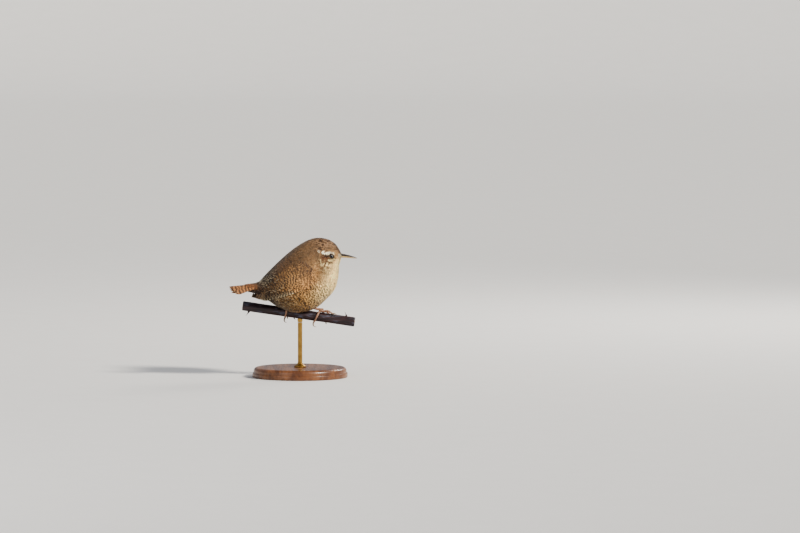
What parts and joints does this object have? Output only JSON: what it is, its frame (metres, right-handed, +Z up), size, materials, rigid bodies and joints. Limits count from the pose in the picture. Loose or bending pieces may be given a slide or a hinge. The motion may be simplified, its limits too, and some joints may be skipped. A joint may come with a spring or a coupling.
{
  "type": "perched wren",
  "caption": "Small round brown songbird with a short tail, gripping a short cut stem held up by a turned display stand.",
  "frame": {"origin": "centre of the underside of the stand's base", "axes": "+Z up, +X the way the bird's bill points along the perch, +Y to the bird's left"},
  "size_m": [0.091, 0.068, 0.0994],
  "materials": {
    "plumage": "soft feathers",
    "flight_feathers": "barred feathers",
    "bill": "horn, satin",
    "eye": "wet gloss",
    "leg_skin": "scaled skin",
    "claw": "horn, satin",
    "stem": "dark bark with a pale bloom",
    "base_wood": "turned and oiled",
    "rod_metal": "satin"
  },
  "bodies": {
    "root": {"head": "plumage", "neck": "plumage", "trunk": "plumage", "tail": "flight_feathers", "bill_upper": "bill", "bill_lower": "bill", "eye_left": "eye", "eye_right": "eye", "wing_left": "flight_feathers", "wing_right": "flight_feathers", "leg_left": "leg_skin", "leg_right": "leg_skin", "foot_left": "leg_skin", "foot_right": "leg_skin", "claw_left_hind": "claw", "claw_left_inner": "claw", "claw_left_middle": "claw", "claw_left_outer": "claw", "claw_right_hind": "claw", "claw_right_inner": "claw", "claw_right_middle": "claw", "claw_right_outer": "claw", "perch": "stem", "stand_base": "base_wood", "stand_rod": "rod_metal", "stand_saddle": "rod_metal"}
  },
  "joints": []
}
